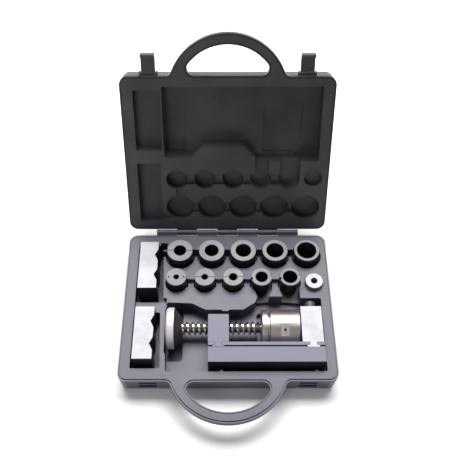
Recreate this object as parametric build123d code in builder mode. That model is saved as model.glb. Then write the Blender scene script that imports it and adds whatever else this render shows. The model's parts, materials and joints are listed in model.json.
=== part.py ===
from build123d import *
import os
from math import cos, radians, sin

os.makedirs("parts", exist_ok=True)

# A screw press set in a carry case, in millimetres.  +X runs to the right, +Y to the hinge,
# +Z up.  The origin is the middle of the case's underside, which is the face it rests on.

# ---------------------------------------------------------------- driving dimensions
# carry case: two blow-moulded halves
CASE_X = 330.0              # width over the lip
CASE_Y = 264.0              # front to back over the lip
HALF_DEPTH = 40.0           # outer depth of each half
CASE_CORNER_R = 14.0
CASE_EDGE_R = 10.0          # bottom edge of the base, top edge of the lid
CASE_DRAFT = 3.0            # degrees
CASE_WALL = 2.5
RIM_STEP = 1.2              # the rim face stands this far above the lip
RIM_INSET = 3.0             # and this far inside it
RIM_GROOVE = 1.2            # width of the groove along the foot of the rim face
RIM_GROOVE_DEEP = 1.3
# handle: a ring about a point inside the front edge
HANDLE_R = 92.6
HANDLE_GRIP = 16.6
HANDLE_SETBACK = 28.6       # ring centre to the lip's front edge
HANDLE_DEPTH = 15.0
HANDLE_CROOK_R = 9.0        # hollow corner where the handle leaves the case
HANDLE_EDGE_R = 5.0
GAP_MARGIN = 0.8            # hand gap to the lip
GAP_CORNER_R = 11.0
# hinge
HINGE_OFFSET = 5.7          # axis to the lip's back edge
HINGE_SPAN = 240.0
HINGE_BITE = 1.0            # web of a knuckle into the wall
HINGE_KNUCKLES = 7
KNUCKLE_R = 4.9
KNUCKLE_GAP = 0.4
HINGE_PIN_R = 2.0
PIN_FIT = 0.06              # running clearance on a radius
LID_OPEN = 114.4            # degrees from shut, as it stands open
# latches
LATCH_X = 120.0
LATCH_WIDTH = 21.4
LATCH_LENGTH = 30.0         # pin to tip
LATCH_THICK = 3.4
LATCH_HOOK = 8.0            # reach of the hooked tip
LATCH_HOOK_THICK = 4.0
LATCH_PIN_OUT = 3.2         # pin in front of the lip
LATCH_PIN_UP = 8.0          # pin above the rim when shut
LATCH_KNUCKLE_R = 3.0
LATCH_PIN_R = 1.25
LATCH_GAP = 0.4
EAR_THICK = 3.0
EAR_BITE = 1.6              # into the lid's wall
LATCH_TIP_R = 1.0
CATCH_DEPTH = 3.5           # shallow recess round the catch
CATCH_BAR = 4.5
CATCH_PLAY = 1.0            # between the bar and the hook
CATCH_SIDE = 2.5            # beside the hook
CATCH_ROOM = 3.0            # under the hook
CATCH_ABOVE = 6.0           # height of the shallow recess over the bar
BLOW_HOLE_R = 3.0           # in the back wall of each half
BLOW_HOLE_UP = 14.0         # from the half's outer face
BLOW_HOLE_HALF = 5.0        # half the cutter's length
# tray levels, measured down from the rim
BLOCK_FLOOR = 35.0
TOOL_FLOOR = 25.0
DISC_FLOOR = 37.2
DRUM_FLOOR = 34.2
ADAPTER_FLOOR = 22.0
SPACER_FLOOR = 4.0
SHELF_FLOOR = 8.0           # shelf between the two V-block pockets
MOUTH_FLOOR = 18.0          # where the last two small adapter pockets open to the tool
LINK_LARGE = 16.0           # channels that join neighbouring pockets
LINK_SMALL = 8.0
# tray outlines, left to right and front to back
POCKET_CORNER_R = 3.0
POCKET_FIT = 0.8            # play round a piece in its pocket
LARGE_POCKET_R = 24.9       # room for fingertips
SMALL_POCKET_R = 18.6
LARGE_POCKET_Y = 89.5
SMALL_POCKET_Y = 37.6
LINK_LARGE_Y = (87.3, 102.0)
LINK_SMALL_Y = (29.0, 44.1)
REAR_BLOCK_POCKET = [(-147.8, 5.2), (-102.2, 5.2), (-107.0, 110.0), (-147.8, 110.0)]
FRONT_BLOCK_POCKET = [(-147.8, -112.0), (-102.6, -112.0), (-106.4, -21.0), (-106.4, -13.0), (-147.8, -13.0)]
SHELF_POCKET = (-147.8, -97.0, -19.0, 9.2)
FINGER_POCKETS = [(-112.0, -100.5, 87.3, 98.6), (-112.0, -100.5, 101.4, 115.0)]
TOOL_OUTLINE = [(-94.6, -117.0), (148.8, -117.0), (148.8, 8.6), (118.0, 8.6), (87.6, 11.5), (65.3, 11.5),
                (46.9, 9.5), (43.6, 0.6), (24.3, -12.1), (-34.8, -12.4), (-57.1, -0.9), (-95.6, 0.8),
                (-99.4, -8.0)]
DISC_POCKET = (-98.0, -71.0, -90.0, -2.0)
DRUM_POCKET = (46.0, 112.0, -73.5, -6.0)
MOUTH_4 = [(41.5, 30.0), (46.9, 12.0), (46.9, -6.0), (60.0, -6.0), (64.5, 9.0), (72.0, 25.0), (72.0, 38.0),
           (41.5, 38.0)]
MOUTH_5 = [(83.2, 38.0), (83.2, 25.0), (88.0, 9.0), (88.0, 4.0), (115.8, 4.0), (115.8, 38.0)]
MOUTH_CORNER_R = 2.0
LINK_CORNER_R = 1.0
# hollows of the lid, over what stands out of the base
LID_COLUMN = 18.0           # over the V-blocks
LID_TOOL = 26.0
LID_DISC = 31.0
LID_DRUM = 29.0
LID_ADAPTER = 17.5
LID_SPACER = 10.0
LID_LINK = 8.0
LID_NOTCH = 6.0
LID_CORNER_R = 4.0
LID_LARGE_R = 23.1
LID_SMALL_R = 17.3
LID_LINK_LARGE_Y = (80.0, 100.0)
LID_LINK_SMALL_Y = (28.3, 48.3)
LID_FRONT_COLUMN = (-145.5, -104.0, -111.0, -12.0)
LID_REAR_COLUMN = (-146.0, -108.0, 10.0, 118.0)
LID_TOOL_OUTLINE = [(-101.5, -116.6), (146.0, -116.6), (146.4, 7.0), (85.0, 8.1), (66.8, 8.1), (45.5, 8.1),
                    (43.8, -0.5), (26.0, -18.2), (-40.5, -18.2), (-59.5, 0.3), (-100.6, 0.2),
                    (-101.5, -12.0)]
LID_DISC_HOLLOW = (-99.5, -66.0, -86.5, -0.4)
LID_DRUM_HOLLOW = (57.0, 119.0, -80.3, 0.0)
LID_CAP_HOLLOW = (108.0, 143.0, -26.5, 5.0)
LID_MOUTH_4 = (44.0, 66.8, -4.0, 38.8)
LID_MOUTH_5 = (85.0, 117.4, 2.0, 38.8)
LID_KEY = (-84.4, -76.4, 38.8, 90.0)
LID_FINGER = (-112.0, -78.4, 98.0, 111.0)
NIB = 4.0                   # wedges that keep the press still: half width and reach
NIB_OVERLAP = 1.0
FRONT_NIBS_X = (-10.0, 133.0)
REAR_NIB = [(-12.0, -11.4), (-8.5, -14.6), (0.5, -14.6), (4.0, -11.4)]
# V-blocks
BLOCK_X = 30.4
BLOCK_Y = 89.0
BLOCK_Z = 50.0
BLOCK_LEFT = -144.2
BLOCK_CENTRES_Y = (63.3, -59.0)
NOTCH_PITCH = 38.0
NOTCH_WIDTH = 21.0
NOTCH_DEPTH = 5.2
# ring adapters, from left to right
LARGE_OD = 42.0
LARGE_BORES = (20.0, 22.5, 25.0, 28.0, 31.5)
LARGE_FIRST_X = -78.4
LARGE_PITCH = 52.2
LARGE_Y = 90.0
SMALL_OD = 33.0
SMALL_BORES = (8.5, 10.5, 13.5, 19.5, 23.0)
SMALL_FIRST_X = -82.6
SMALL_PITCH = 45.7
SMALL_Y = 38.8
SMALL_BODY_OD = 27.0        # below the flange of the last two
SMALL_FLANGE = 11.0
ADAPTER_HEIGHT = 38.0
ADAPTER_CHAMFER = 0.6
SLIT = 0.8                  # between the halves of a split adapter
BAND_R = 0.9                # spring band that holds the halves together
BAND_DOWN = 9.0             # its groove, below the adapter's top
KEY_HOLE_R = 1.3
# spacer washer
SPACER_OD = 28.4
SPACER_BORE = 10.0
SPACER_THICK = 12.0
SPACER_X = 139.5
SPACER_Y = 36.3
# screw press, lying on its side
TOOL_Y = -43.5              # axis of the screw
TOOL_DOWN = 4.0             # axis below the rim
TOOL_WIDTH = 42.0           # beam and uprights, across the case's depth
BEAM_X0 = -30.2
BEAM_X1 = 145.8
BEAM_BACK = 32.9            # screw axis to the beam's working face
BEAM_DEEP = 32.6
SIDE_GROOVE = 3.1
SIDE_GROOVE_DEEP = 2.5
TEE_NECK = 10.0
TEE_NECK_DEEP = 5.5
TEE_HEAD = 18.6
TEE_HEAD_DEEP = 3.0
TEE_FIT = 0.25
UPRIGHT_THICK = 32.2
SCREW_UPRIGHT_X = -14.6     # middle of each upright
ANVIL_UPRIGHT_X = 128.7
SCREW_UPRIGHT_TOP = 14.3    # screw axis to its end
ANVIL_UPRIGHT_TOP = 27.6
CAP_SPLIT = 5.0             # screw axis to the joint of the anvil's cap
ANVIL_BORE_R = 11.0
SCREW_R = 10.0
SCREW_LEFT = -82.0
SCREW_SHOULDER = 51.2
JOURNAL_R = 7.0
JOURNAL_END = 72.0
DISC_R = 32.4
DISC_X0 = -94.8
DISC_RIM = 12.6
DISC_HUB_R = 17.0
DISC_HUB_END = -71.0
DRIVE_AF = 17.0             # hexagon drive in the disc's outer face
DRUM_R = 28.8
DRUM_X0 = 51.5
DRUM_X1 = 110.0
COLLAR = 9.3
DRUM_GROOVE = 3.8
DRUM_GROOVE_R = 24.0
SPIGOT_R = 17.0
SPIGOT = 5.4
BEARING_SEAT = 80.0
CUP_FLOOR = 86.0
CUP_R = 21.2
BALL_R = 2.0
BALL_COUNT = 14
BALL_CIRCLE_R = 11.5
RACE = 1.9
DRUM_FLAT_X = (80.8, 93.4)
DRUM_FLAT_DEEP = 1.6
DRUM_FLAT_TURN = 32.0       # degrees the flat is turned from straight up towards the front
GRUB_R = 2.0
CAP_SCREW_R = 5.0
CAP_HEAD_R = 8.0
CAP_HEAD = 10.0
CAP_SCREW_PITCH = 25.0
CAP_SCREW_LENGTH = 34.0
SCREW_SOCKET_AF = 8.0
SEAT_FIT = 0.05             # between two rigid pieces, on a radius

# ---------------------------------------------------------------- derived places
RIM_Z = HALF_DEPTH
HINGE_Y = CASE_Y / 2 + HINGE_OFFSET
FRONT = -CASE_Y / 2
TOOL_Z = RIM_Z - TOOL_DOWN
LARGE_X = [LARGE_FIRST_X + LARGE_PITCH * i for i in range(len(LARGE_BORES))]
SMALL_X = [SMALL_FIRST_X + SMALL_PITCH * i for i in range(len(SMALL_BORES))]
LATCHES_X = (-LATCH_X, LATCH_X)
LATCH_PIN_Y = FRONT - LATCH_PIN_OUT
BLOCK_MID_X = BLOCK_LEFT + BLOCK_X / 2

# The rim planes face the open side of each half.  On the lid's plane the local y is the
# case's y turned over, so that both halves are drawn from the same outline.
out = radians(LID_OPEN)
lid_up = Vector(0, -cos(out), sin(out))         # hinge to the lid's front edge
lid_in = Vector(0, -sin(out), -cos(out))        # out of the lid's open side
BASE_RIM = Plane(origin=(0, 0, RIM_Z), x_dir=(1, 0, 0), z_dir=(0, 0, 1))
LID_RIM = Plane(origin=Vector(0, HINGE_Y, RIM_Z) + lid_up * HINGE_Y, x_dir=(1, 0, 0), z_dir=lid_in)


def finish(piece, label):
    """Label a finished piece and write it."""
    piece.part.label = label
    export_step(piece.part, f"parts/{label}.step")


# ---------------------------------------------------------------- shared shapes of the two halves
def ground_plan(side, grow=0.0):
    """Outline of a half with its handle ring filled.  side is 1 on the base, -1 on the lid."""
    ring_r = HANDLE_R + grow
    meet_x = (ring_r**2 - (HANDLE_SETBACK + grow) ** 2) ** 0.5
    with BuildSketch() as plan:
        RectangleRounded(CASE_X + 2 * grow, CASE_Y + 2 * grow, CASE_CORNER_R + grow)
        with Locations((0, -side * (CASE_Y / 2 - HANDLE_SETBACK))):
            Circle(ring_r)
        crooks = [v for v in plan.vertices() if abs(abs(v.X) - meet_x) < 1 and side * v.Y < 0]
        fillet(crooks, HANDLE_CROOK_R - grow)
    return plan.sketch


def hand_gap(side, grow=0.0):
    """The D-shaped finger gap of a handle."""
    ring_r = HANDLE_R - HANDLE_GRIP + grow
    centre = -side * (CASE_Y / 2 - HANDLE_SETBACK)
    flat = -side * (CASE_Y / 2 + GAP_MARGIN - grow)
    half = (ring_r**2 - (flat - centre) ** 2) ** 0.5
    with BuildSketch() as gap:
        with BuildLine():
            Line((-half, flat), (half, flat))
            ThreePointArc((half, flat), (0, centre - side * ring_r), (-half, flat))
        make_face()
        fillet(gap.vertices(), GAP_CORNER_R + grow)
    return gap.sketch


def handle_plan(side, grow=0.0):
    """The part of the ground plan in front of the box, with its finger gap."""
    with BuildSketch() as plan:
        add(ground_plan(side, grow))
        with Locations((0, side * CASE_CORNER_R)):
            Rectangle(2 * CASE_X, CASE_Y, mode=Mode.SUBTRACT)
        add(hand_gap(side, -grow), mode=Mode.SUBTRACT)
    return plan.sketch


def box_body(rim, inset, top, bottom):
    """Drafted box of a half between two depths, with its far edge rounded."""
    with BuildPart() as box:
        with BuildSketch(rim.offset(-top)):
            RectangleRounded(CASE_X - 2 * inset, CASE_Y - 2 * inset, CASE_CORNER_R - inset)
        extrude(amount=-(bottom - top), taper=CASE_DRAFT)
        far = box.faces().sort_by(Axis(rim.origin, rim.z_dir))[0]
        fillet(far.edges(), CASE_EDGE_R - inset)
    return box.part


def handle_body(rim, side, inset, top, bottom):
    """Handle of a half between two depths, with its far outer edge rounded."""
    with BuildPart() as handle:
        with BuildSketch(rim.offset(-top)):
            add(handle_plan(side, -inset))
        extrude(amount=-(bottom - top))
        far = handle.faces().sort_by(Axis(rim.origin, rim.z_dir))[0]
        edge_r = HANDLE_EDGE_R - inset
        if edge_r > 0.5:
            curved = [e for e in far.edges() if e.geom_type == GeomType.CIRCLE and e.length > 40]
            fillet(curved, edge_r)
    return handle.part


def latch_notches():
    """Boxes cut in the base's front wall: a shallow one and the one that takes the hook."""
    hook_top = RIM_Z + LATCH_PIN_UP - LATCH_LENGTH + LATCH_HOOK_THICK + CATCH_PLAY
    width = LATCH_WIDTH + 2 * CATCH_SIDE
    with BuildPart() as notches:
        for level, reach, height in ((hook_top + CATCH_BAR, CATCH_DEPTH, CATCH_ABOVE),
                                     (hook_top, LATCH_HOOK, -LATCH_HOOK_THICK - CATCH_PLAY - CATCH_ROOM)):
            with BuildSketch(Plane.XY.offset(level)):
                with Locations([(x, FRONT) for x in LATCHES_X]):
                    Rectangle(width, 2 * reach)
            extrude(amount=height)
    return notches.part


def rectangle_pocket(x0, x1, y0, y1, depth, corner=POCKET_CORNER_R):
    """A pocket with straight sides."""
    return ("rectangle", (x0, x1, y0, y1, corner), depth)


def round_pocket(x, y, radius, depth):
    """A round pocket."""
    return ("circle", (x, y, radius), depth)


def outline_pocket(points, depth, corner=POCKET_CORNER_R):
    """A pocket with a free outline, its corners rounded."""
    return ("outline", (points, corner), depth)


def pocket_plan(shape, side, grow):
    """Plan of one pocket, grown by a wall where the hollow of the shell keeps clear of it."""
    kind, size, depth = shape
    with BuildSketch() as plan:
        if kind == "circle":
            x, y, radius = size
            with Locations((x, side * y)):
                Circle(radius + grow)
        elif kind == "rectangle":
            x0, x1, y0, y1, corner = size
            with Locations(((x0 + x1) / 2, side * (y0 + y1) / 2)):
                RectangleRounded(x1 - x0 + 2 * grow, y1 - y0 + 2 * grow, corner + grow)
        else:
            points, corner = size
            with BuildLine():
                Polyline(*[(x, side * y) for x, y in points], close=True)
            make_face()
            fillet(plan.vertices(), corner)
            if grow:
                offset(amount=grow)
    return plan.sketch


def shell_hollow(rim, side, pockets):
    """The air inside a double wall: the box less every pocket grown by a wall."""
    with BuildPart() as hollow:
        add(box_body(rim, CASE_WALL, RIM_STEP + CASE_WALL, HALF_DEPTH - CASE_WALL))
        add(handle_body(rim, side, CASE_WALL, RIM_STEP + CASE_WALL, HANDLE_DEPTH - CASE_WALL))
        for pocket in pockets:
            with BuildSketch(rim):
                add(pocket_plan(pocket, side, CASE_WALL))
            extrude(amount=-min(pocket[2] + CASE_WALL, HALF_DEPTH), mode=Mode.SUBTRACT)
    return hollow.part


def moulded_half(rim, side, pockets):
    """A half before its hinge, latch and catch details: skin, handle, rim face and pockets."""
    with BuildPart() as half:
        add(box_body(rim, 0, RIM_STEP, HALF_DEPTH))
        add(handle_body(rim, side, 0, RIM_STEP, HANDLE_DEPTH))
        with BuildSketch(rim.offset(-RIM_STEP)):
            add(ground_plan(side, -RIM_INSET))
            add(hand_gap(side, RIM_INSET), mode=Mode.SUBTRACT)
        extrude(amount=RIM_STEP)
        with BuildSketch(rim.offset(-RIM_STEP)):
            add(ground_plan(side, RIM_GROOVE - RIM_INSET))
            add(ground_plan(side, -RIM_INSET), mode=Mode.SUBTRACT)
            add(hand_gap(side, RIM_INSET))
            add(hand_gap(side, RIM_INSET - RIM_GROOVE), mode=Mode.SUBTRACT)
        extrude(amount=-RIM_GROOVE_DEEP, mode=Mode.SUBTRACT)
        for pocket in pockets:
            with BuildSketch(rim):
                add(pocket_plan(pocket, side, 0))
            extrude(amount=-pocket[2], mode=Mode.SUBTRACT)
    return half.part


# ---------------------------------------------------------------- the tray of the base
def link_pockets(xs, ends, depth):
    """Channels that join neighbouring round pockets."""
    return [rectangle_pocket(a, b, *ends, depth, LINK_CORNER_R) for a, b in zip(xs, xs[1:])]


base_pockets = [outline_pocket(REAR_BLOCK_POCKET, BLOCK_FLOOR),
                outline_pocket(FRONT_BLOCK_POCKET, BLOCK_FLOOR),
                rectangle_pocket(*SHELF_POCKET, SHELF_FLOOR),
                outline_pocket(TOOL_OUTLINE, TOOL_FLOOR),
                rectangle_pocket(*DISC_POCKET, DISC_FLOOR, 2 * POCKET_CORNER_R),
                rectangle_pocket(*DRUM_POCKET, DRUM_FLOOR, 2 * POCKET_CORNER_R),
                outline_pocket(MOUTH_4, MOUTH_FLOOR, MOUTH_CORNER_R),
                outline_pocket(MOUTH_5, MOUTH_FLOOR, MOUTH_CORNER_R),
                round_pocket(SPACER_X, SPACER_Y, SPACER_OD / 2 + POCKET_FIT, SPACER_FLOOR)]
base_pockets += [rectangle_pocket(*room, LINK_LARGE, LINK_CORNER_R) for room in FINGER_POCKETS]
base_pockets += [round_pocket(x, LARGE_POCKET_Y, LARGE_POCKET_R, ADAPTER_FLOOR) for x in LARGE_X]
base_pockets += [round_pocket(x, SMALL_POCKET_Y, SMALL_POCKET_R, ADAPTER_FLOOR) for x in SMALL_X]
base_pockets += link_pockets(LARGE_X, LINK_LARGE_Y, LINK_LARGE)
base_pockets += link_pockets(SMALL_X, LINK_SMALL_Y, LINK_SMALL)

# ---------------------------------------------------------------- the hollows of the lid
lid_pockets = [rectangle_pocket(*LID_FRONT_COLUMN, LID_COLUMN),
               rectangle_pocket(*LID_REAR_COLUMN, LID_COLUMN),
               outline_pocket(LID_TOOL_OUTLINE, LID_TOOL),
               rectangle_pocket(*LID_DISC_HOLLOW, LID_DISC, LID_CORNER_R),
               rectangle_pocket(*LID_DRUM_HOLLOW, LID_DRUM, LID_CORNER_R),
               rectangle_pocket(*LID_CAP_HOLLOW, LID_DRUM, LID_CORNER_R),
               rectangle_pocket(*LID_MOUTH_4, LID_ADAPTER, MOUTH_CORNER_R),
               rectangle_pocket(*LID_MOUTH_5, LID_ADAPTER, MOUTH_CORNER_R),
               rectangle_pocket(*LID_KEY, LID_NOTCH, LINK_CORNER_R),
               rectangle_pocket(*LID_FINGER, LID_NOTCH, MOUTH_CORNER_R),
               round_pocket(SPACER_X, SPACER_Y, SPACER_OD / 2 + POCKET_FIT, LID_SPACER)]
lid_pockets += [round_pocket(x, LARGE_Y, LID_LARGE_R, LID_ADAPTER) for x in LARGE_X]
lid_pockets += [round_pocket(x, SMALL_Y, LID_SMALL_R, LID_ADAPTER) for x in SMALL_X]
lid_pockets += link_pockets(LARGE_X, LID_LINK_LARGE_Y, LID_LINK)
lid_pockets += link_pockets(SMALL_X, LID_LINK_SMALL_Y, LID_LINK)

# ---------------------------------------------------------------- hinge
KNUCKLE = HINGE_SPAN / HINGE_KNUCKLES


def knuckles(rim, side, first):
    """Every second knuckle of the hinge, with the webs that carry them."""
    axis_y = side * HINGE_Y
    with BuildPart() as barrel:
        for i in range(first, HINGE_KNUCKLES, 2):
            x0 = -HINGE_SPAN / 2 + i * KNUCKLE + KNUCKLE_GAP / 2
            start = rim.from_local_coords((x0, axis_y, 0))
            inward = rim.from_local_coords((0, -side, 0)) - rim.from_local_coords((0, 0, 0))
            with BuildSketch(Plane(origin=start, x_dir=inward, z_dir=(1, 0, 0))):
                Circle(KNUCKLE_R)
                with Locations(((HINGE_OFFSET + HINGE_BITE) / 2, side * KNUCKLE_R / 2)):
                    Rectangle(HINGE_OFFSET + HINGE_BITE, KNUCKLE_R)
                Circle(HINGE_PIN_R + PIN_FIT, mode=Mode.SUBTRACT)
            extrude(amount=KNUCKLE - KNUCKLE_GAP)
    return barrel.part


with BuildPart() as hinge_pin:
    with BuildSketch(Plane(origin=(-HINGE_SPAN / 2, HINGE_Y, RIM_Z), z_dir=(1, 0, 0))):
        Circle(HINGE_PIN_R)
    extrude(amount=HINGE_SPAN)
    chamfer(hinge_pin.edges(), 0.4)
finish(hinge_pin, "hinge_pin")

# ---------------------------------------------------------------- base
with BuildPart() as case_base:
    add(moulded_half(BASE_RIM, 1, base_pockets))
    add(shell_hollow(BASE_RIM, 1, base_pockets), mode=Mode.SUBTRACT)
    # nibs that keep the beam back and the screw upright forward
    tray_front = TOOL_OUTLINE[0][1]
    with BuildSketch(BASE_RIM):
        for x in FRONT_NIBS_X:
            with BuildLine():
                Polyline((x - NIB, tray_front - NIB_OVERLAP), (x, tray_front + NIB),
                         (x + NIB, tray_front - NIB_OVERLAP), close=True)
            make_face()
        with BuildLine():
            Polyline(*REAR_NIB, close=True)
        make_face()
    extrude(amount=-TOOL_FLOOR)
    # walls of the catch recesses, then the recesses
    with BuildSketch(Plane.XY.offset(CASE_EDGE_R)):
        with Locations([(x, FRONT + LATCH_HOOK / 2 + CASE_WALL) for x in LATCHES_X]):
            Rectangle(LATCH_WIDTH + 2 * CATCH_SIDE + 2 * CASE_WALL, LATCH_HOOK)
    extrude(amount=HALF_DEPTH - CASE_EDGE_R - RIM_STEP - CASE_WALL)
    add(latch_notches(), mode=Mode.SUBTRACT)
    add(knuckles(BASE_RIM, 1, 0))
    with BuildSketch(Plane(origin=(0, CASE_Y / 2, BLOW_HOLE_UP), z_dir=(0, 1, 0))):
        Circle(BLOW_HOLE_R)
    extrude(amount=BLOW_HOLE_HALF, both=True, mode=Mode.SUBTRACT)
finish(case_base, "case_base")

# ---------------------------------------------------------------- lid, standing open
latch_pin_at = [LID_RIM.from_local_coords((x, -LATCH_PIN_Y, -LATCH_PIN_UP)) for x in LATCHES_X]


def latch_plane(centre, x_shift):
    """Section plane through a latch: x along the open latch, y into the case, z along +X."""
    return Plane(origin=centre + Vector(x_shift, 0, 0), x_dir=lid_up, z_dir=(1, 0, 0))


with BuildPart() as case_lid:
    add(moulded_half(LID_RIM, -1, lid_pockets))
    add(shell_hollow(LID_RIM, -1, lid_pockets), mode=Mode.SUBTRACT)
    add(knuckles(LID_RIM, -1, 1))
    # ears that carry the latch pins
    for centre in latch_pin_at:
        for x_shift in (-LATCH_WIDTH / 2 - LATCH_GAP - EAR_THICK, LATCH_WIDTH / 2 + LATCH_GAP):
            with BuildSketch(latch_plane(centre, x_shift)):
                Circle(LATCH_KNUCKLE_R)
                with Locations((-(LATCH_PIN_OUT + EAR_BITE) / 2, 0)):
                    Rectangle(LATCH_PIN_OUT + EAR_BITE, 2 * LATCH_KNUCKLE_R)
                Circle(LATCH_PIN_R + SEAT_FIT, mode=Mode.SUBTRACT)
            extrude(amount=EAR_THICK)
    blow_at = LID_RIM.from_local_coords((0, -CASE_Y / 2, BLOW_HOLE_UP - HALF_DEPTH))
    with BuildSketch(Plane(origin=blow_at, x_dir=(1, 0, 0), z_dir=lid_up)):
        Circle(BLOW_HOLE_R)
    extrude(amount=BLOW_HOLE_HALF, both=True, mode=Mode.SUBTRACT)
finish(case_lid, "case_lid")

for centre, hand in zip(latch_pin_at, ("left", "right")):
    with BuildPart() as latch:
        with BuildSketch(latch_plane(centre, -LATCH_WIDTH / 2)):
            Circle(LATCH_KNUCKLE_R)
            with Locations((LATCH_LENGTH / 2, 0)):
                Rectangle(LATCH_LENGTH, LATCH_THICK)
            with Locations((LATCH_LENGTH - LATCH_HOOK_THICK / 2, LATCH_HOOK / 2)):
                Rectangle(LATCH_HOOK_THICK, LATCH_HOOK + LATCH_THICK)
            Circle(LATCH_PIN_R + PIN_FIT, mode=Mode.SUBTRACT)
        extrude(amount=LATCH_WIDTH)
        rounded = latch.edges().filter_by(Axis.X).sort_by(Axis(centre, lid_up))[-3:]
        fillet(rounded, LATCH_TIP_R)
    finish(latch, f"latch_{hand}")

    with BuildPart() as latch_pin:
        with BuildSketch(latch_plane(centre, -LATCH_WIDTH / 2 - LATCH_GAP - EAR_THICK)):
            Circle(LATCH_PIN_R)
        extrude(amount=LATCH_WIDTH + 2 * LATCH_GAP + 2 * EAR_THICK)
    finish(latch_pin, f"latch_pin_{hand}")

# ---------------------------------------------------------------- V-blocks
for centre_y, place in zip(BLOCK_CENTRES_Y, ("rear", "front")):
    right = BLOCK_LEFT + BLOCK_X
    with BuildPart() as v_block:
        with BuildSketch(BASE_RIM.offset(-BLOCK_FLOOR)):
            with Locations((BLOCK_MID_X, centre_y)):
                Rectangle(BLOCK_X, BLOCK_Y)
            for shift in (-NOTCH_PITCH / 2, NOTCH_PITCH / 2):
                y = centre_y + shift
                with BuildLine():
                    Polyline((right + 1, y - NOTCH_WIDTH / 2), (right, y - NOTCH_WIDTH / 2),
                             (right - NOTCH_DEPTH, y), (right, y + NOTCH_WIDTH / 2),
                             (right + 1, y + NOTCH_WIDTH / 2), close=True)
                make_face(mode=Mode.SUBTRACT)
        extrude(amount=BLOCK_Z)
        chamfer(v_block.faces().sort_by(Axis.Z)[-1].edges(), 0.4)
    finish(v_block, f"v_block_{place}")

# ---------------------------------------------------------------- ring adapters
ADAPTER_Z = RIM_Z - ADAPTER_FLOOR
ADAPTER_TOP = ADAPTER_Z + ADAPTER_HEIGHT


def ring(x, y, od, bore):
    """A plain ring adapter standing in its pocket."""
    with BuildPart() as body:
        with BuildSketch(Plane.XY.offset(ADAPTER_Z)):
            with Locations((x, y)):
                Circle(od / 2)
                Circle(bore / 2, mode=Mode.SUBTRACT)
        extrude(amount=ADAPTER_HEIGHT)
        chamfer(body.edges().filter_by(GeomType.CIRCLE), ADAPTER_CHAMFER)
    return body.part


def split_ring(x, y, od, bore, name):
    """Two half adapters and the spring band in their outer groove."""
    band_z = ADAPTER_TOP - BAND_DOWN
    band_at = Location((x, y, band_z))
    for half, toward in (("front", -1), ("rear", 1)):
        with BuildPart() as shell:
            add(ring(x, y, od, bore))
            with BuildSketch(Plane.XY.offset(ADAPTER_Z)):
                with Locations((x, y - toward * (od / 2 - SLIT / 2))):
                    Rectangle(od + 2, od)
            extrude(amount=ADAPTER_HEIGHT, mode=Mode.SUBTRACT)
            with Locations(band_at):
                Torus(od / 2 - BAND_R, BAND_R + SEAT_FIT, mode=Mode.SUBTRACT)
            with BuildSketch(Plane.XY.offset(band_z - BAND_R)):
                with Locations((x, y)):
                    Circle(od / 2 + 1)
                    Circle(od / 2 - BAND_R, mode=Mode.SUBTRACT)
            extrude(amount=2 * BAND_R, mode=Mode.SUBTRACT)
        finish(shell, f"{name}_{half}_half")
    with BuildPart() as band:
        with Locations(band_at):
            Torus(od / 2 - BAND_R, BAND_R)
    finish(band, f"{name}_band")


for i, (x, bore) in enumerate(zip(LARGE_X, LARGE_BORES)):
    if i == 0:
        split_ring(x, LARGE_Y, LARGE_OD, bore, "large_adapter_1")
    else:
        with BuildPart() as large_adapter:
            add(ring(x, LARGE_Y, LARGE_OD, bore))
        finish(large_adapter, f"large_adapter_{i + 1}")

for i, (x, bore) in enumerate(zip(SMALL_X, SMALL_BORES)):
    if i in (1, 2):
        split_ring(x, SMALL_Y, SMALL_OD, bore, f"small_adapter_{i + 1}")
        continue
    with BuildPart() as small_adapter:
        add(ring(x, SMALL_Y, SMALL_OD, bore))
        if i == 0:
            with BuildSketch(Plane.XY.offset(ADAPTER_TOP)):
                with Locations((x - 12, SMALL_Y), (x + 12, SMALL_Y)):
                    Circle(KEY_HOLE_R)
            extrude(amount=-8, mode=Mode.SUBTRACT)
        else:
            with BuildSketch(Plane.XY.offset(ADAPTER_Z)):
                with Locations((x, SMALL_Y)):
                    Circle(SMALL_OD / 2 + 1)
                    Circle(SMALL_BODY_OD / 2, mode=Mode.SUBTRACT)
            extrude(amount=ADAPTER_HEIGHT - SMALL_FLANGE, mode=Mode.SUBTRACT)
            with BuildSketch(Plane.XY.offset(ADAPTER_TOP)):
                with Locations((x - SMALL_OD / 2, SMALL_Y - 3), (x + SMALL_OD / 2, SMALL_Y + 3)):
                    Circle(2 * KEY_HOLE_R)
            extrude(amount=-5, mode=Mode.SUBTRACT)
    finish(small_adapter, f"small_adapter_{i + 1}")

with BuildPart() as spacer_washer:
    with BuildSketch(BASE_RIM.offset(-SPACER_FLOOR)):
        with Locations((SPACER_X, SPACER_Y)):
            Circle(SPACER_OD / 2)
            Circle(SPACER_BORE / 2, mode=Mode.SUBTRACT)
    extrude(amount=SPACER_THICK)
    chamfer(spacer_washer.edges().filter_by(GeomType.CIRCLE), 0.5)
finish(spacer_washer, "spacer_washer")

# ---------------------------------------------------------------- screw press
TOOL_FACE = Plane.XY.offset(RIM_Z - TOOL_FLOOR)      # the side that it lies on
BEAM_TOP_Y = TOOL_Y - BEAM_BACK
UPRIGHTS_X = (SCREW_UPRIGHT_X, ANVIL_UPRIGHT_X)


def across(x):
    """Plane square to the screw's axis at x."""
    return Plane(origin=(x, TOOL_Y, TOOL_Z), x_dir=(0, 1, 0), z_dir=(1, 0, 0))


def turned(steps, mode=Mode.ADD):
    """Lengths of round bar on the screw's axis, as (start, end, radius)."""
    for x0, x1, radius in steps:
        with BuildSketch(across(x0)) as section:
            Circle(radius)
        extrude(section.sketch, amount=x1 - x0, mode=mode)


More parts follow.
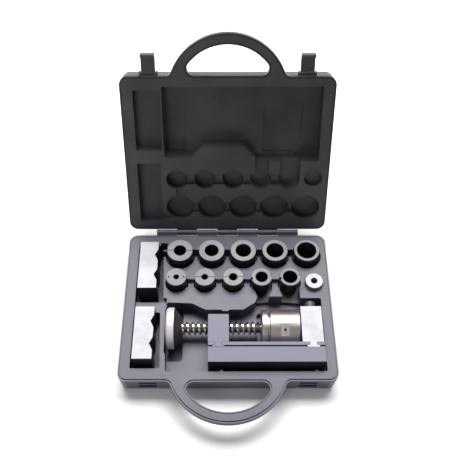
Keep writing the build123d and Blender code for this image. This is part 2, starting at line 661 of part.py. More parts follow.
def tee(x, fit):
    """Section of a T-foot, or of its slot with a fit, drawn from the beam's working face."""
    with BuildSketch() as section:
        with Locations((x, BEAM_TOP_Y - TEE_NECK_DEEP / 2 + 1)):
            Rectangle(TEE_NECK + 2 * fit, TEE_NECK_DEEP + 2)
        with Locations((x, BEAM_TOP_Y - TEE_NECK_DEEP - TEE_HEAD_DEEP / 2)):
            Rectangle(TEE_HEAD + 2 * fit, TEE_HEAD_DEEP + 2 * fit)
    return section.sketch


with BuildPart() as press_beam:
    with BuildSketch(TOOL_FACE):
        with Locations(((BEAM_X0 + BEAM_X1) / 2, BEAM_TOP_Y - BEAM_DEEP / 2)):
            Rectangle(BEAM_X1 - BEAM_X0, BEAM_DEEP)
        for x in UPRIGHTS_X:
            add(tee(x, TEE_FIT), mode=Mode.SUBTRACT)
    extrude(amount=TOOL_WIDTH)
    # groove along both sides, level with the heads of the T-slots
    for face_z, turn in ((0, 1), (TOOL_WIDTH, -1)):
        with BuildSketch(TOOL_FACE.offset(face_z)):
            with Locations(((BEAM_X0 + BEAM_X1) / 2, BEAM_TOP_Y - TEE_NECK_DEEP - SIDE_GROOVE / 2)):
                Rectangle(BEAM_X1 - BEAM_X0 + 2, SIDE_GROOVE)
        extrude(amount=turn * SIDE_GROOVE_DEEP, mode=Mode.SUBTRACT)
finish(press_beam, "press_beam")

with BuildPart() as screw_upright:
    with BuildSketch(TOOL_FACE):
        with Locations((SCREW_UPRIGHT_X, (BEAM_TOP_Y + TOOL_Y + SCREW_UPRIGHT_TOP) / 2)):
            Rectangle(UPRIGHT_THICK, BEAM_BACK + SCREW_UPRIGHT_TOP)
        add(tee(SCREW_UPRIGHT_X, 0))
    extrude(amount=TOOL_WIDTH)
    x0 = SCREW_UPRIGHT_X - UPRIGHT_THICK / 2
    turned([(x0, x0 + UPRIGHT_THICK, SCREW_R + PIN_FIT)], Mode.SUBTRACT)
finish(screw_upright, "screw_upright")

CAP_Y = TOOL_Y + CAP_SPLIT
CAP_TOP_Y = TOOL_Y + ANVIL_UPRIGHT_TOP
anvil_x0 = ANVIL_UPRIGHT_X - UPRIGHT_THICK / 2
cap_screws_z = [TOOL_Z + shift for shift in (-CAP_SCREW_PITCH / 2, CAP_SCREW_PITCH / 2)]


def cap_screw_hole(z, radius, y, length):
    """A hole for a cap screw, down from the plane at y."""
    with BuildSketch(Plane(origin=(ANVIL_UPRIGHT_X, y, z), z_dir=(0, -1, 0))) as hole:
        Circle(radius)
    extrude(hole.sketch, amount=length, mode=Mode.SUBTRACT)


with BuildPart() as anvil_upright:
    with BuildSketch(TOOL_FACE):
        with Locations((ANVIL_UPRIGHT_X, (BEAM_TOP_Y + CAP_Y) / 2)):
            Rectangle(UPRIGHT_THICK, BEAM_BACK + CAP_SPLIT)
        add(tee(ANVIL_UPRIGHT_X, 0))
    extrude(amount=TOOL_WIDTH)
    turned([(anvil_x0, anvil_x0 + UPRIGHT_THICK, ANVIL_BORE_R)], Mode.SUBTRACT)
    for z in cap_screws_z:
        cap_screw_hole(z, CAP_SCREW_R + SEAT_FIT, CAP_Y, CAP_SCREW_LENGTH - ANVIL_UPRIGHT_TOP + CAP_SPLIT + 2)
finish(anvil_upright, "anvil_upright")

with BuildPart() as anvil_cap:
    with BuildSketch(TOOL_FACE):
        with Locations((ANVIL_UPRIGHT_X, (CAP_Y + CAP_TOP_Y) / 2)):
            Rectangle(UPRIGHT_THICK, CAP_TOP_Y - CAP_Y)
    extrude(amount=TOOL_WIDTH)
    turned([(anvil_x0, anvil_x0 + UPRIGHT_THICK, ANVIL_BORE_R)], Mode.SUBTRACT)
    for z in cap_screws_z:
        cap_screw_hole(z, CAP_SCREW_R + 4 * SEAT_FIT, CAP_TOP_Y, CAP_TOP_Y - CAP_Y)
finish(anvil_cap, "anvil_cap")

for i, z in enumerate(cap_screws_z):
    with BuildPart() as cap_screw:
        with BuildSketch(Plane(origin=(ANVIL_UPRIGHT_X, CAP_TOP_Y, z), z_dir=(0, 1, 0))):
            Circle(CAP_HEAD_R)
        extrude(amount=CAP_HEAD)
        chamfer(cap_screw.edges().filter_by(GeomType.CIRCLE).sort_by(Axis.Y)[-1], 0.8)
        with BuildSketch(Plane(origin=(ANVIL_UPRIGHT_X, CAP_TOP_Y + CAP_HEAD, z), z_dir=(0, -1, 0))):
            RegularPolygon(SCREW_SOCKET_AF / 2, 6, major_radius=False)
        extrude(amount=CAP_HEAD / 2, mode=Mode.SUBTRACT)
        with BuildSketch(Plane(origin=(ANVIL_UPRIGHT_X, CAP_TOP_Y, z), z_dir=(0, -1, 0))):
            Circle(CAP_SCREW_R)
        extrude(amount=CAP_SCREW_LENGTH)
    finish(cap_screw, f"cap_screw_{i + 1}")

RING_X = 70.3               # retaining ring on the journal, inside the drum
RING_THICK = 1.0
RING_R = 9.5
with BuildPart() as press_screw:
    turned([(SCREW_LEFT, SCREW_SHOULDER, SCREW_R), (SCREW_SHOULDER, JOURNAL_END, JOURNAL_R)])
    with BuildSketch(across(RING_X - SEAT_FIT)):
        Circle(JOURNAL_R + 1)
        Circle(JOURNAL_R - 1, mode=Mode.SUBTRACT)
    extrude(amount=RING_THICK + 2 * SEAT_FIT, mode=Mode.SUBTRACT)
finish(press_screw, "press_screw")

with BuildPart() as screw_retaining_ring:
    with BuildSketch(across(RING_X)):
        Circle(RING_R)
        Circle(JOURNAL_R - 1 + SEAT_FIT, mode=Mode.SUBTRACT)
    extrude(amount=RING_THICK)
finish(screw_retaining_ring, "screw_retaining_ring")

DISC_BORE_X = DISC_X0 + DISC_RIM
with BuildPart() as pressure_disc:
    turned([(DISC_X0, DISC_X0 + DISC_RIM, DISC_R)])
    chamfer(pressure_disc.edges().filter_by(GeomType.CIRCLE).sort_by(Axis.X)[0], 3.0, 2.0)
    with BuildSketch(across(DISC_X0 + DISC_RIM)) as back:
        Circle(DISC_R - 1.5)
    with BuildSketch(across(DISC_HUB_END)):
        Circle(DISC_HUB_R)
    loft()
    turned([(SCREW_LEFT, DISC_HUB_END, SCREW_R + SEAT_FIT)], Mode.SUBTRACT)
    with BuildSketch(across(DISC_X0)):
        RegularPolygon(DRIVE_AF / 2, 6, major_radius=False)
    extrude(amount=8, mode=Mode.SUBTRACT)
finish(pressure_disc, "pressure_disc")

with BuildPart() as drum_collar:
    turned([(DRUM_X0, DRUM_X0 + COLLAR, DRUM_R)])
    chamfer(drum_collar.edges().filter_by(GeomType.CIRCLE).sort_by(Axis.X)[0], 1.5)
    turned([(DRUM_X0 + COLLAR, DRUM_X0 + COLLAR + DRUM_GROOVE, DRUM_GROOVE_R),
            (DRUM_X0 + COLLAR + DRUM_GROOVE, DRUM_X0 + COLLAR + DRUM_GROOVE + SPIGOT, SPIGOT_R - SEAT_FIT)])
    turned([(DRUM_X0, RING_X, JOURNAL_R + PIN_FIT)], Mode.SUBTRACT)
finish(drum_collar, "drum_collar")

DRUM_BODY_X = DRUM_X0 + COLLAR + DRUM_GROOVE
flat_turn = radians(DRUM_FLAT_TURN)
flat_out = Vector(0, -sin(flat_turn), cos(flat_turn))
flat_mid_x = sum(DRUM_FLAT_X) / 2
with BuildPart() as drum_body:
    turned([(DRUM_BODY_X, DRUM_X1, DRUM_R)])
    chamfer(drum_body.edges().filter_by(GeomType.CIRCLE), 0.8)
    turned([(DRUM_BODY_X, BEARING_SEAT, SPIGOT_R), (CUP_FLOOR, DRUM_X1, CUP_R)], Mode.SUBTRACT)
    drum_flat = Plane(origin=Vector(flat_mid_x, TOOL_Y, TOOL_Z) + flat_out * DRUM_R,
                      x_dir=(1, 0, 0), z_dir=flat_out)
    with BuildSketch(drum_flat):
        Rectangle(DRUM_FLAT_X[1] - DRUM_FLAT_X[0], 2 * DRUM_R)
    extrude(amount=-DRUM_FLAT_DEEP, mode=Mode.SUBTRACT)
    with BuildSketch(drum_flat):
        Circle(GRUB_R + SEAT_FIT)
    extrude(amount=-(DRUM_R - CUP_R + 1), mode=Mode.SUBTRACT)
finish(drum_body, "drum_body")

with BuildPart() as drum_grub_screw:
    with BuildSketch(drum_flat.offset(-DRUM_FLAT_DEEP - 0.8)):
        Circle(GRUB_R)
        RegularPolygon(1.0, 6, major_radius=False, mode=Mode.SUBTRACT)
    extrude(amount=-4)
finish(drum_grub_screw, "drum_grub_screw")

race_x = (JOURNAL_END + 0.15, BEARING_SEAT - RACE)
for x, name in zip(race_x, ("screw", "drum")):
    with BuildPart() as race:
        turned([(x, x + RACE, SPIGOT_R - 0.4)])
        turned([(x, x + RACE, SPIGOT_R / 2 - 1)], Mode.SUBTRACT)
    finish(race, f"thrust_race_{name}")

ball_x = (race_x[0] + RACE + race_x[1]) / 2
ball_r = (race_x[1] - race_x[0] - RACE) / 2 - 0.01
with BuildPart() as thrust_balls:
    with Locations(across(ball_x)):
        with PolarLocations(BALL_CIRCLE_R, BALL_COUNT):
            Sphere(ball_r)
finish(thrust_balls, "thrust_balls")
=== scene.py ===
import json
import math

import bmesh
import bpy
from mathutils import Matrix, Vector


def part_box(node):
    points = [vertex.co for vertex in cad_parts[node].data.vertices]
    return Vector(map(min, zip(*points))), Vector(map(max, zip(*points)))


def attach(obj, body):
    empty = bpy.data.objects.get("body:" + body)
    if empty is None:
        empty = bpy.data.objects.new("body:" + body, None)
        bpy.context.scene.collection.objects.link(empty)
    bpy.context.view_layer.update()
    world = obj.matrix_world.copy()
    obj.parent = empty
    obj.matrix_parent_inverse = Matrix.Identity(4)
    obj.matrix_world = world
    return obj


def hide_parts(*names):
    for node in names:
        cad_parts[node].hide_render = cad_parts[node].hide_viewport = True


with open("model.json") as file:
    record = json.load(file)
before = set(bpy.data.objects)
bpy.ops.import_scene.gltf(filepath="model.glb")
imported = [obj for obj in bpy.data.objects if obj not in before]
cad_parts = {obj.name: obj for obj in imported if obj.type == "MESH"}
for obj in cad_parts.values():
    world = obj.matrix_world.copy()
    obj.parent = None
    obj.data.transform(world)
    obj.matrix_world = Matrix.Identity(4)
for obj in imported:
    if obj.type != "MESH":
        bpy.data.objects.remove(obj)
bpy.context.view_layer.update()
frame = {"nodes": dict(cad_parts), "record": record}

# ---------------------------------------------------------------- sizes, in metres
CASE_EDGE = 0.0012          # easing of the moulded edges, as far as their neighbours allow
PART_EDGE = 0.0004          # easing of machined edges
FINE_EDGE = 0.0003          # easing of the blocks and adapters
DRUM_EDGE = 0.0005
LATCH_EDGE = 0.0006
WELD = 0.00001              # vertices nearer than this are one
LEVEL = math.radians(0.5)   # faces nearer to level than this are one
EASED_ABOVE = math.radians(28.0)
FACE_DEPTH = 0.0012         # a ring's top face lies within this of its top
FLAT_DEPTH = 0.0003         # the drum's flat lies at least this far inside its round
FLAT_LOOKS = (0, -0.53, 0.848)
THREAD_TOP = 0.0099         # radii of the screw's thread
THREAD_ROOT = 0.0066
THREAD_PITCH = 0.0085
THREAD_STEPS = 32           # facets in one turn
THREAD_IN_DISC = 0.004      # the thread runs this far into the pressure disc
COLLAR_GAP = 0.0003
JOURNAL_R = 0.007
CORE_PROUD = 0.00005        # the core stands this far over the thread's root
FLOOR_SIZE = 12.0
FLOOR_GAP = 0.0002

# ---------------------------------------------------------------- shader building
def new_group(name, inputs, outputs):
    """A shader node group with named sockets: (name, kind, default) in and (name, kind) out."""
    group = bpy.data.node_groups.new(name, "ShaderNodeTree")
    for label, kind, default in inputs:
        socket = group.interface.new_socket(name=label, in_out="INPUT", socket_type=kind)
        socket.default_value = default
    for label, kind in outputs:
        group.interface.new_socket(name=label, in_out="OUTPUT", socket_type=kind)
    return group


def node(tree, kind, values=None, **settings):
    """A node with its settings and unlinked input values."""
    made = tree.nodes.new(kind)
    for key, value in settings.items():
        setattr(made, key, value)
    for key, value in (values or {}).items():
        made.inputs[key].default_value = value
    return made


def join(tree, start, end):
    """Links an output to an input."""
    tree.links.new(start, end)


def maths(tree, operation, first, second, clamp=False):
    """A maths node on two values or sockets, and its output."""
    made = node(tree, "ShaderNodeMath", operation=operation, use_clamp=clamp)
    for i, value in enumerate((first, second)):
        if hasattr(value, "is_linked"):
            join(tree, value, made.inputs[i])
        else:
            made.inputs[i].default_value = value
    return made.outputs[0]


def noise(tree, vector, scale, detail=3.0, roughness=0.5):
    """Noise at a scale in cells per metre."""
    made = node(tree, "ShaderNodeTexNoise", {"Scale": scale, "Detail": detail, "Roughness": roughness})
    join(tree, vector, made.inputs["Vector"])
    return made.outputs["Fac"]


def spread(tree, value, low, high, to_low=0.0, to_high=1.0):
    """Maps a value from one range to another, held at the ends."""
    made = node(tree, "ShaderNodeMapRange", {"From Min": low, "From Max": high, "To Min": to_low,
                                             "To Max": to_high})
    join(tree, value, made.inputs["Value"])
    return made.outputs["Result"]


def grain_group():
    """Fine spark-eroded grain of moulded plastic, with soft flow marks and a few scuffs."""
    group = new_group("moulded_grain",
                      [("Cell Size", "NodeSocketFloat", 0.0006),
                       ("Scuff Amount", "NodeSocketFloat", 0.3)],
                      [("Height", "NodeSocketFloat"), ("Tone", "NodeSocketFloat"),
                       ("Scuff", "NodeSocketFloat")])
    put_in = node(group, "NodeGroupInput")
    put_out = node(group, "NodeGroupOutput")
    place = node(group, "ShaderNodeTexCoord").outputs["Object"]
    per_metre = maths(group, "DIVIDE", 1.0, put_in.outputs["Cell Size"])
    fine = node(group, "ShaderNodeTexNoise", {"Detail": 2.0, "Roughness": 0.6})
    join(group, place, fine.inputs["Vector"])
    join(group, per_metre, fine.inputs["Scale"])
    pits = node(group, "ShaderNodeTexVoronoi", feature="F1")
    join(group, place, pits.inputs["Vector"])
    join(group, maths(group, "MULTIPLY", per_metre, 0.6), pits.inputs["Scale"])
    height = maths(group, "ADD", fine.outputs["Fac"], maths(group, "MULTIPLY", pits.outputs["Distance"], 0.5))
    join(group, height, put_out.inputs["Height"])
    join(group, noise(group, place, 14.0, 4.0), put_out.inputs["Tone"])
    stretch = node(group, "ShaderNodeMapping", {"Scale": (240.0, 40.0, 240.0), "Rotation": (0.0, 0.0, 0.7)})
    join(group, place, stretch.inputs["Vector"])
    lines = noise(group, stretch.outputs["Vector"], 1.0, 5.0, 0.7)
    patches = spread(group, noise(group, place, 30.0, 3.0), 0.52, 0.72)
    scuff = maths(group, "MULTIPLY", spread(group, lines, 0.62, 0.72), patches)
    join(group, maths(group, "MULTIPLY", scuff, put_in.outputs["Scuff Amount"]), put_out.inputs["Scuff"])
    return group


def streak_group():
    """Grinding or brushing marks: noise drawn out along one axis, by the stretch that is set."""
    group = new_group("machining_streaks",
                      [("Stretch", "NodeSocketVector", (4000.0, 60.0, 4000.0))],
                      [("Height", "NodeSocketFloat"), ("Tone", "NodeSocketFloat")])
    put_in = node(group, "NodeGroupInput")
    put_out = node(group, "NodeGroupOutput")
    place = node(group, "ShaderNodeTexCoord").outputs["Object"]
    pull = node(group, "ShaderNodeVectorMath", operation="MULTIPLY")
    join(group, place, pull.inputs[0])
    join(group, put_in.outputs["Stretch"], pull.inputs[1])
    marks = noise(group, pull.outputs["Vector"], 1.0, 6.0, 0.65)
    join(group, marks, put_out.inputs["Height"])
    join(group, noise(group, place, 45.0, 4.0), put_out.inputs["Tone"])
    return group


def turning_group():
    """Turning marks: fine rings about an axis through a centre, or round a bar along X."""
    group = new_group("turning_rings",
                      [("Centre", "NodeSocketVector", (0.0, 0.0, 0.0)),
                       ("Keep", "NodeSocketVector", (1.0, 1.0, 0.0)),
                       ("Ring Pitch", "NodeSocketFloat", 0.0004)],
                      [("Height", "NodeSocketFloat"), ("Radius", "NodeSocketFloat")])
    put_in = node(group, "NodeGroupInput")
    put_out = node(group, "NodeGroupOutput")
    place = node(group, "ShaderNodeTexCoord").outputs["Object"]
    off = node(group, "ShaderNodeVectorMath", operation="SUBTRACT")
    join(group, place, off.inputs[0])
    join(group, put_in.outputs["Centre"], off.inputs[1])
    flat = node(group, "ShaderNodeVectorMath", operation="MULTIPLY")
    join(group, off.outputs["Vector"], flat.inputs[0])
    join(group, put_in.outputs["Keep"], flat.inputs[1])
    length = node(group, "ShaderNodeVectorMath", operation="LENGTH")
    join(group, flat.outputs["Vector"], length.inputs[0])
    radius = length.outputs["Value"]
    turns = maths(group, "DIVIDE", radius, put_in.outputs["Ring Pitch"])
    ring = node(group, "ShaderNodeTexNoise", {"Scale": 1.0, "Detail": 3.0}, noise_dimensions="1D")
    join(group, turns, ring.inputs["W"])
    join(group, ring.outputs["Fac"], put_out.inputs["Height"])
    join(group, radius, put_out.inputs["Radius"])
    return group


GRAIN = grain_group()
STREAKS = streak_group()
TURNING = turning_group()


def new_material(name):
    """A material, its node tree and its shader."""
    made = bpy.data.materials.new(name)
    made.use_nodes = True
    tree = made.node_tree
    return made, tree, tree.nodes["Principled BSDF"]


def use_group(tree, group, values=None):
    """A shared effect placed in a material, with its own values."""
    made = node(tree, "ShaderNodeGroup", node_tree=group)
    for key, value in (values or {}).items():
        made.inputs[key].default_value = value
    return made


def tone(tree, shader, mask, dark, light):
    """Base colour between two colours by a mask."""
    mix = node(tree, "ShaderNodeMix", data_type="RGBA")
    mix.inputs["A"].default_value = (*dark, 1.0)
    mix.inputs["B"].default_value = (*light, 1.0)
    join(tree, mask, mix.inputs["Factor"])
    join(tree, mix.outputs["Result"], shader.inputs["Base Color"])


def bump(tree, shader, height, strength, distance):
    """A bump on the shader's normal."""
    made = node(tree, "ShaderNodeBump", {"Strength": strength, "Distance": distance})
    join(tree, height, made.inputs["Height"])
    join(tree, made.outputs["Normal"], shader.inputs["Normal"])


def case_plastic(name, dark, light, rough):
    """Moulded case plastic."""
    made, tree, shader = new_material(name)
    grain = use_group(tree, GRAIN, {"Cell Size": 0.00075, "Scuff Amount": 0.35})
    mask = maths(tree, "ADD", spread(tree, grain.outputs["Tone"], 0.3, 0.7), grain.outputs["Scuff"], True)
    tone(tree, shader, mask, dark, light)
    join(tree, spread(tree, grain.outputs["Tone"], 0.3, 0.7, rough - 0.05, rough + 0.06),
         shader.inputs["Roughness"])
    bump(tree, shader, grain.outputs["Height"], 0.55, 0.00022)
    return made


def ground_steel(name, dark, light, rough, stretch):
    """Surface-ground bright steel, its marks drawn out along one axis."""
    made, tree, shader = new_material(name)
    shader.inputs["Metallic"].default_value = 1.0
    marks = use_group(tree, STREAKS, {"Stretch": stretch})
    mask = maths(tree, "ADD", maths(tree, "MULTIPLY", marks.outputs["Height"], 0.5),
                 maths(tree, "MULTIPLY", marks.outputs["Tone"], 0.5))
    tone(tree, shader, spread(tree, mask, 0.38, 0.62), dark, light)
    join(tree, spread(tree, marks.outputs["Height"], 0.35, 0.65, rough - 0.06, rough + 0.08),
         shader.inputs["Roughness"])
    bump(tree, shader, marks.outputs["Height"], 0.25, 0.00006)
    return made


def oxide_steel(name, dark, light, rough, metallic=0.85):
    """Oxide-finished steel: satin, with faint mottling and handling marks."""
    made, tree, shader = new_material(name)
    shader.inputs["Metallic"].default_value = metallic
    grain = use_group(tree, GRAIN, {"Cell Size": 0.0009, "Scuff Amount": 0.5})
    mask = maths(tree, "ADD", spread(tree, grain.outputs["Tone"], 0.32, 0.68), grain.outputs["Scuff"], True)
    tone(tree, shader, mask, dark, light)
    join(tree, spread(tree, grain.outputs["Tone"], 0.3, 0.7, rough - 0.05, rough + 0.08),
         shader.inputs["Roughness"])
    bump(tree, shader, grain.outputs["Height"], 0.2, 0.00005)
    return made


def turned_steel(name, dark, light, rough, centre, keep, pitch=0.0004, metallic=1.0):
    """Turned steel with fine rings about its axis."""
    made, tree, shader = new_material(name)
    shader.inputs["Metallic"].default_value = metallic
    rings = use_group(tree, TURNING, {"Centre": centre, "Keep": keep, "Ring Pitch": pitch})
    grain = use_group(tree, GRAIN, {"Cell Size": 0.0012, "Scuff Amount": 0.3})
    mask = maths(tree, "ADD", maths(tree, "MULTIPLY", rings.outputs["Height"], 0.5),
                 maths(tree, "MULTIPLY", grain.outputs["Tone"], 0.5))
    tone(tree, shader, spread(tree, mask, 0.38, 0.62), dark, light)
    join(tree, spread(tree, rings.outputs["Height"], 0.3, 0.7, rough - 0.03, rough + 0.04),
         shader.inputs["Roughness"])
    bump(tree, shader, rings.outputs["Height"], 0.12, 0.00003)
    return made


# ---------------------------------------------------------------- meshes from the frame
def finished_copy(node_name, width, segments=2):
    """A node's mesh made whole, its flat faces joined up and its sharp edges eased."""
    shape = bmesh.new()
    shape.from_mesh(frame["nodes"][node_name].data)
    bmesh.ops.remove_doubles(shape, verts=shape.verts, dist=WELD)
    bmesh.ops.dissolve_limit(shape, angle_limit=LEVEL, verts=shape.verts, edges=shape.edges)
    sharp = [e for e in shape.edges if len(e.link_faces) == 2 and e.calc_face_angle(0) > EASED_ABOVE]
    bmesh.ops.bevel(shape, geom=sharp, offset=width, offset_type="OFFSET", affect="EDGES",
                    segments=segments, profile=0.5, material=-1, clamp_overlap=True)
    return shape


def piece_from(shape, name, body, materials, replaced=(), smooth=35.0):
    """Make a bmesh a piece that rides on a body."""
    mesh = bpy.data.meshes.new(name)
    shape.to_mesh(mesh)
    shape.free()
    for material in materials:
        mesh.materials.append(material)
    piece = bpy.data.objects.new(name, mesh)
    bpy.context.scene.collection.objects.link(piece)
    mesh.shade_smooth()
    mesh.set_sharp_from_angle(angle=math.radians(smooth))
    even = piece.modifiers.new("even_normals", "WEIGHTED_NORMAL")
    even.keep_sharp = True
    even.weight = 80
    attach(piece, body)
    if replaced:
        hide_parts(*replaced)
    return piece


def body_of_node(node_name):
    """The moving body that a node belongs to."""
    return next(b for b, ns in frame["record"]["behaviour"]["bodies"].items() if node_name in ns)


def dress(node_name, material, width=PART_EDGE, segments=2, face_material=None, faces=None):
    """Replace a node by its eased copy, with a second material where a test picks faces."""
    shape = finished_copy(node_name, width, segments)
    if face_material:
        for face in shape.faces:
            if faces(face):
                face.material_index = 1
    stuff = [material] + ([face_material] if face_material else [])
    return piece_from(shape, node_name + "_piece", body_of_node(node_name), stuff,
                      [node_name])


def plain(node_name, material):
    """Give a node that keeps its shape a material."""
    mesh = frame["nodes"][node_name].data
    mesh.materials.clear()
    mesh.materials.append(material)


# ---------------------------------------------------------------- finishes
# The lid and its latches take a darker, more neutral copy of the base's plastic. This is painted shade for
# the lid standing out of the overhead light.
BASE_PLASTIC = case_plastic("base_plastic", (0.034, 0.032, 0.054), (0.060, 0.057, 0.088), 0.38)
SHADED_LID_PLASTIC = case_plastic("lid_plastic_painted_shade", (0.026, 0.024, 0.028), (0.048, 0.044, 0.052), 0.35)
GROUND = ground_steel("ground_bright_steel", (0.27, 0.262, 0.282), (0.36, 0.352, 0.374), 0.58,
                      (60.0, 2500.0, 2500.0))
BLACK = oxide_steel("black_oxide", (0.008, 0.007, 0.006), (0.020, 0.018, 0.015), 0.34, 0.1)
SCREW_HEAD = oxide_steel("browned_screw", (0.050, 0.036, 0.033), (0.090, 0.068, 0.064), 0.45, 0.2)
# Painted blue-grey sheen: black-oxide steel coloured as it looks when reflecting the light, with no metallic
# reflection of its own.
BLUE_SHEEN_OXIDE = oxide_steel("oxide_painted_blue_sheen", (0.085, 0.082, 0.128), (0.135, 0.130, 0.190), 0.46, 0.0)
# Near-black oxide: the V-blocks' own black sides, and painted shade on the beam's front faces and on the
# hinge pin.
DARK_OXIDE_AND_SHADE = oxide_steel("dark_oxide_and_painted_shade", (0.008, 0.008, 0.007), (0.018, 0.018, 0.015), 0.45, 0.0)
FACE = turned_steel("turned_face", (0.150, 0.141, 0.152), (0.270, 0.257, 0.274), 0.50, (0.0, 0.0, 0.0),
                    (1.0, 1.0, 0.0), 0.0006, 0.0)
BAND = oxide_steel("dark_band", (0.010, 0.009, 0.008), (0.026, 0.023, 0.020), 0.30, 0.2)
BRIGHT = ground_steel("bright_steel", (0.70, 0.68, 0.66), (0.90, 0.88, 0.86), 0.24, (900.0, 900.0, 900.0))
# Dark brown on the thread's root faces and on the core: painted shade in the gaps between the crests.
THREAD_GAP_SHADE = oxide_steel("thread_gap_painted_shade", (0.030, 0.024, 0.018), (0.070, 0.058, 0.048), 0.5, 0.4)
THREAD = ground_steel("rolled_thread", (0.72, 0.69, 0.64), (0.92, 0.89, 0.84), 0.20, (700.0, 900.0, 900.0))
drum_low, drum_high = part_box("drum_body")
AXIS = (drum_low + drum_high) / 2       # a point on the screw's axis
DRUM_R = (drum_high.z - drum_low.z) / 2
DRUM = turned_steel("turned_drum", (0.50, 0.455, 0.425), (0.58, 0.535, 0.50), 0.38, tuple(AXIS),
                    (1.0, 0.0, 0.0), 0.0005)
DISC = turned_steel("turned_disc", (0.035, 0.028, 0.024), (0.075, 0.062, 0.055), 0.42, tuple(AXIS),
                    (0.0, 1.0, 1.0), 0.0006, 0.3)
RIM = turned_steel("disc_rim", (0.58, 0.55, 0.57), (0.72, 0.69, 0.71), 0.55, tuple(AXIS), (1.0, 0.0, 0.0),
                   0.0004, 0.45)
FLAT = ground_steel("milled_flat", (0.72, 0.64, 0.62), (0.86, 0.78, 0.76), 0.40, (2500.0, 90.0, 90.0))


def facing(x, y, z, least=0.8):
    """A test for faces that look along a direction."""
    way = Vector((x, y, z)).normalized()
    return lambda face: face.normal.dot(way) > least


def top_faces(node_name):
    """A test for the faces that look up at the very top of a node."""
    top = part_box(node_name)[1].z
    return lambda face: face.normal.z > 0.6 and face.calc_center_median().z > top - FACE_DEPTH


def milled_flat(face):
    """A test for the drum's milled flat, which lies inside the drum's own radius."""
    off = face.calc_center_median() - AXIS
    return facing(*FLAT_LOOKS, 0.9995)(face) and math.hypot(off.y, off.z) < DRUM_R - FLAT_DEPTH


# ---------------------------------------------------------------- pieces
dress("case_base", BASE_PLASTIC, CASE_EDGE, 3)
dress("case_lid", SHADED_LID_PLASTIC, CASE_EDGE, 3)
for side in ("left", "right"):
    dress("latch_" + side, SHADED_LID_PLASTIC, LATCH_EDGE)
    plain("latch_pin_" + side, BRIGHT)
# The hinge pin is near-black as painted shade for the dark strip along the hinge.
plain("hinge_pin", DARK_OXIDE_AND_SHADE)
for place in ("rear", "front"):
    dress("v_block_" + place, DARK_OXIDE_AND_SHADE, FINE_EDGE, 2, GROUND, facing(0, 0, 1))
for n in frame["nodes"]:
    if "adapter" in n and "band" not in n:
        dress(n, BLACK, FINE_EDGE, 2, FACE, top_faces(n))
    elif "band" in n:
        plain(n, BAND)
dress("spacer_washer", GROUND)
# The beam's top and ends take the painted blue-grey sheen, and its front faces take the near-black copy as
# painted shade.
dress("press_beam", BLUE_SHEEN_OXIDE, PART_EDGE, 2, DARK_OXIDE_AND_SHADE, facing(0, -1, 0, 0.9))
# The screw upright is coloured all over with the painted blue-grey sheen.
dress("screw_upright", BLUE_SHEEN_OXIDE)
for n in ("anvil_upright", "anvil_cap"):
    dress(n, GROUND)
for n in ("cap_screw_1", "cap_screw_2"):
    dress(n, SCREW_HEAD)
dress("pressure_disc", RIM, DRUM_EDGE, 2, DISC, facing(1, 0, 0, 0.3))
dress("drum_body", DRUM, DRUM_EDGE, 2, FLAT, milled_flat)
dress("drum_collar", DRUM, DRUM_EDGE)
plain("drum_grub_screw", BLACK)
for n in ("screw_retaining_ring", "thrust_race_screw", "thrust_race_drum", "thrust_balls"):
    plain(n, BRIGHT)

# the screw: a core and a journal, with a right-hand trapezoidal thread along the core
screw_low, screw_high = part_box("press_screw")
thread_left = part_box("pressure_disc")[1].x - THREAD_IN_DISC
thread_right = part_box("drum_collar")[0].x - COLLAR_GAP


def thread_shape():
    """A trapezoidal ridge swept along a helix, closed on itself, about the screw's axis."""
    shape = bmesh.new()
    turns = (thread_right - thread_left) / THREAD_PITCH
    profile = [(0.00, THREAD_ROOT), (0.24, THREAD_ROOT), (0.36, THREAD_TOP), (0.64, THREAD_TOP),
               (0.76, THREAD_ROOT), (1.00, THREAD_ROOT)]
    rings = []
    count = int(turns * THREAD_STEPS)
    for i in range(count + 1):
        turn = 2 * math.pi * i / THREAD_STEPS
        start = thread_left + THREAD_PITCH * (i / THREAD_STEPS - 1)
        rings.append([shape.verts.new((min(max(start + THREAD_PITCH * along, thread_left), thread_right),
                                       AXIS.y - out * math.sin(turn), AXIS.z + out * math.cos(turn)))
                      for along, out in profile])
    for one, two in zip(rings, rings[1:]):
        for i in range(len(profile) - 1):
            face = shape.faces.new((one[i], one[i + 1], two[i + 1], two[i]))
            # The root faces take the second, darker material: painted shade between the crests.
            face.material_index = 1 if profile[i][1] == profile[i + 1][1] == THREAD_ROOT else 0
    bmesh.ops.remove_doubles(shape, verts=shape.verts, dist=0.000002)
    bmesh.ops.recalc_face_normals(shape, faces=shape.faces)
    return shape


def bar_shape(x0, x1, radius, segments=48):
    """A closed round bar along X on the screw's axis."""
    shape = bmesh.new()
    place = Matrix.Translation(((x0 + x1) / 2, AXIS.y, AXIS.z)) @ Matrix.Rotation(math.pi / 2, 4, "Y")
    bmesh.ops.create_cone(shape, cap_ends=True, segments=segments, radius1=radius, radius2=radius,
                          depth=x1 - x0, matrix=place)
    return shape


piece_from(thread_shape(), "press_screw_thread", "screw", [THREAD, THREAD_GAP_SHADE],
           ["press_screw"], 30)
piece_from(bar_shape(screw_low.x, thread_right, THREAD_ROOT + CORE_PROUD), "press_screw_core", "screw",
           [THREAD_GAP_SHADE], ["press_screw"])
piece_from(bar_shape(thread_right, screw_high.x, JOURNAL_R), "press_screw_journal", "screw",
           [BRIGHT], ["press_screw"])

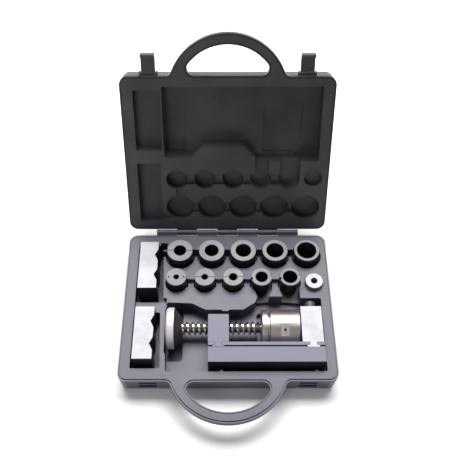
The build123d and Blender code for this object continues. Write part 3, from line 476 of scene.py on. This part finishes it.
# ---------------------------------------------------------------- floor, lights and camera
bpy.ops.mesh.primitive_plane_add(size=FLOOR_SIZE, location=(0, 0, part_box("case_base")[0].z - FLOOR_GAP))
floor = bpy.context.object
floor.name = "floor"
floor_stuff, floor_tree, floor_shader = new_material("pale_floor")
floor_shader.inputs["Base Color"].default_value = (0.93, 0.93, 0.93, 1.0)
floor_shader.inputs["Roughness"].default_value = 0.9
floor.data.materials.append(floor_stuff)


def soft_light(name, place, aim, size, power, size_y=None):
    """A rectangular studio light aimed at a point."""
    data = bpy.data.lights.new(name, "AREA")
    data.shape = "RECTANGLE"
    data.size = size
    data.size_y = size_y or size
    data.energy = power
    lamp = bpy.data.objects.new(name, data)
    bpy.context.scene.collection.objects.link(lamp)
    lamp.location = place
    lamp.rotation_euler = (Vector(aim) - Vector(place)).to_track_quat("-Z", "Y").to_euler()


soft_light("overhead_box", (0.05, 0.95, 1.8), (0, 0.05, 0.05), 2.2, 82, 1.2)
soft_light("front_fill", (-0.9, -1.8, 1.3), (0, 0, 0.1), 1.2, 12)
world = bpy.data.worlds.new("room")
bpy.context.scene.world = world
world.use_nodes = True
world.node_tree.nodes["Background"].inputs["Color"].default_value = (0.97, 0.96, 1.0, 1.0)
world.node_tree.nodes["Background"].inputs["Strength"].default_value = 0.2

CAMERA_AT = Vector((-0.0078, -0.5238, 0.9661))
PITCH = math.radians(55.295)        # below the horizon
YAW = math.radians(0.36)            # to the right
ROLL = math.radians(0.26)
ahead = Vector((math.sin(YAW) * math.cos(PITCH), math.cos(YAW) * math.cos(PITCH), -math.sin(PITCH)))
right = ahead.cross(Vector((0, 0, 1))).normalized()
up = right.cross(ahead)
right, up = (math.cos(ROLL) * right + math.sin(ROLL) * up, math.cos(ROLL) * up - math.sin(ROLL) * right)
turn = Matrix((right, up, -ahead)).transposed()
camera_data = bpy.data.cameras.new("camera")
camera_data.lens = 52.49
camera_data.sensor_width = 36.0
camera_data.shift_x = 0.0072
camera_data.shift_y = 0.0295
camera_data.clip_end = 50.0
camera = bpy.data.objects.new("camera", camera_data)
camera.matrix_world = Matrix.Translation(CAMERA_AT) @ turn.to_4x4()
bpy.context.scene.collection.objects.link(camera)
bpy.context.scene.camera = camera
bpy.context.scene.view_settings.view_transform = "Standard"
